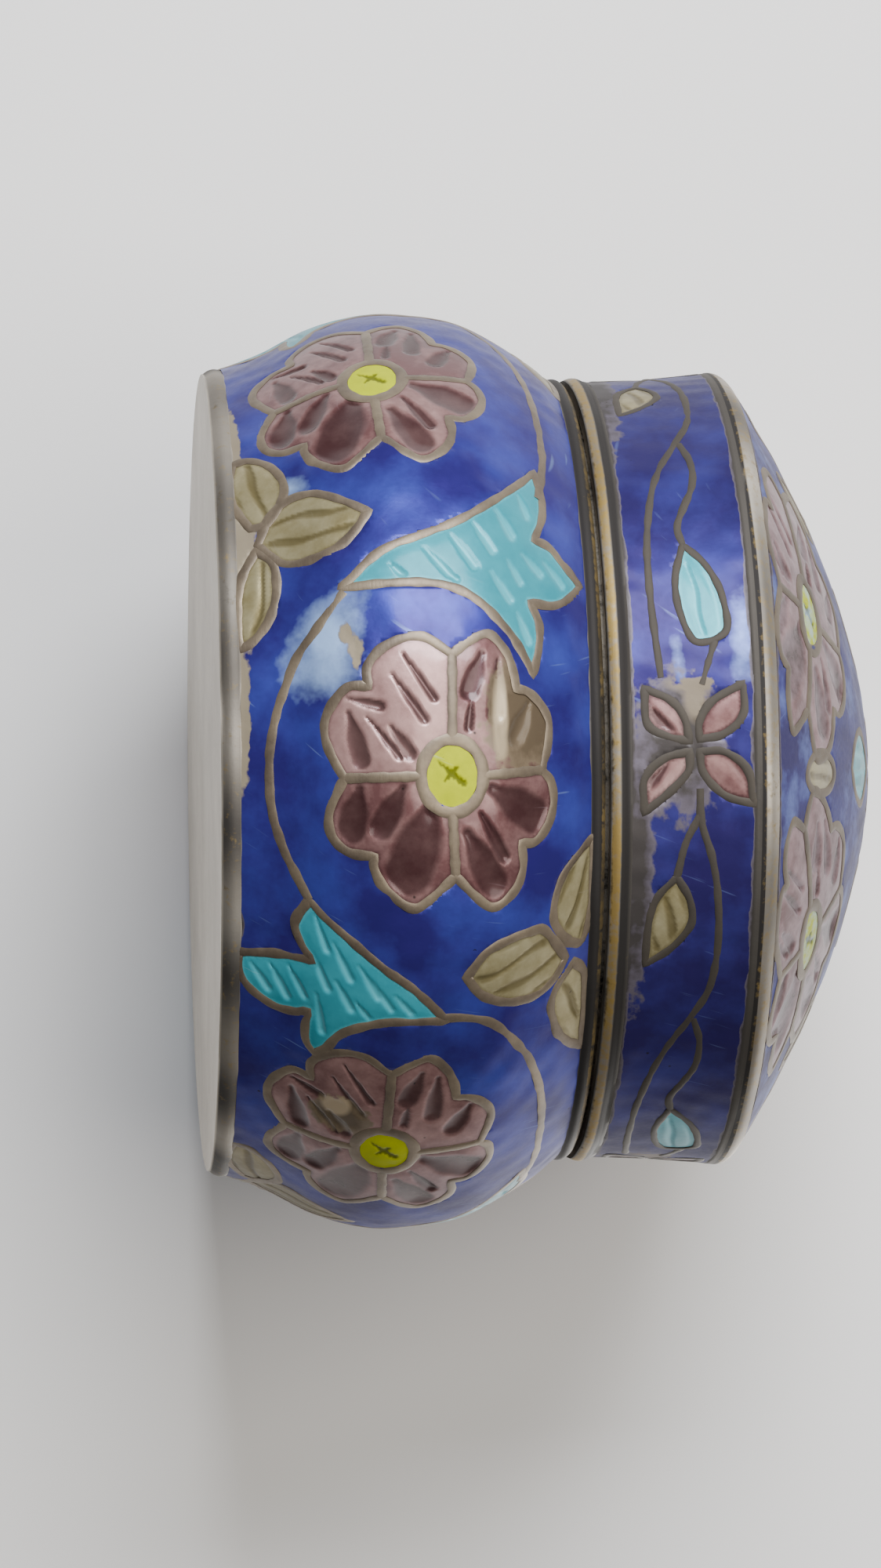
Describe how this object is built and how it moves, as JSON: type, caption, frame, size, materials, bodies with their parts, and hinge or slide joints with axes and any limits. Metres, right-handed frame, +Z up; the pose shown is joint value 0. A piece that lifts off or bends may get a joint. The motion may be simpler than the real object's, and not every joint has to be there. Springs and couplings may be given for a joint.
{
  "type": "round enamelled silver box with lift-off lid",
  "caption": "Small round silver box with a bulging bowl and a low domed lid, enamelled in cobalt blue with flowers and leaves.",
  "frame": {"origin": "centre of the flat underside, on the surface that the box stands on", "axes": "+Z up along the axis of the box, from the foot to the crown of the lid"},
  "size_m": [0.058, 0.058, 0.0424],
  "materials": {
    "cobalt_enamel": "glossy translucent cobalt glass enamel fused over silver",
    "turquoise_enamel": "glossy turquoise glass enamel over bright-cut silver",
    "aubergine_enamel": "translucent aubergine glass enamel over bright-cut silver",
    "straw_enamel": "translucent straw-coloured glass enamel over bright-cut silver",
    "yellow_enamel": "glossy yellow glass enamel",
    "silver": "worn silver, tarnished in the hollows, with traces of gilding"
  },
  "bodies": {
    "root": {"body": "cobalt_enamel", "lid": "cobalt_enamel"}
  },
  "joints": []
}
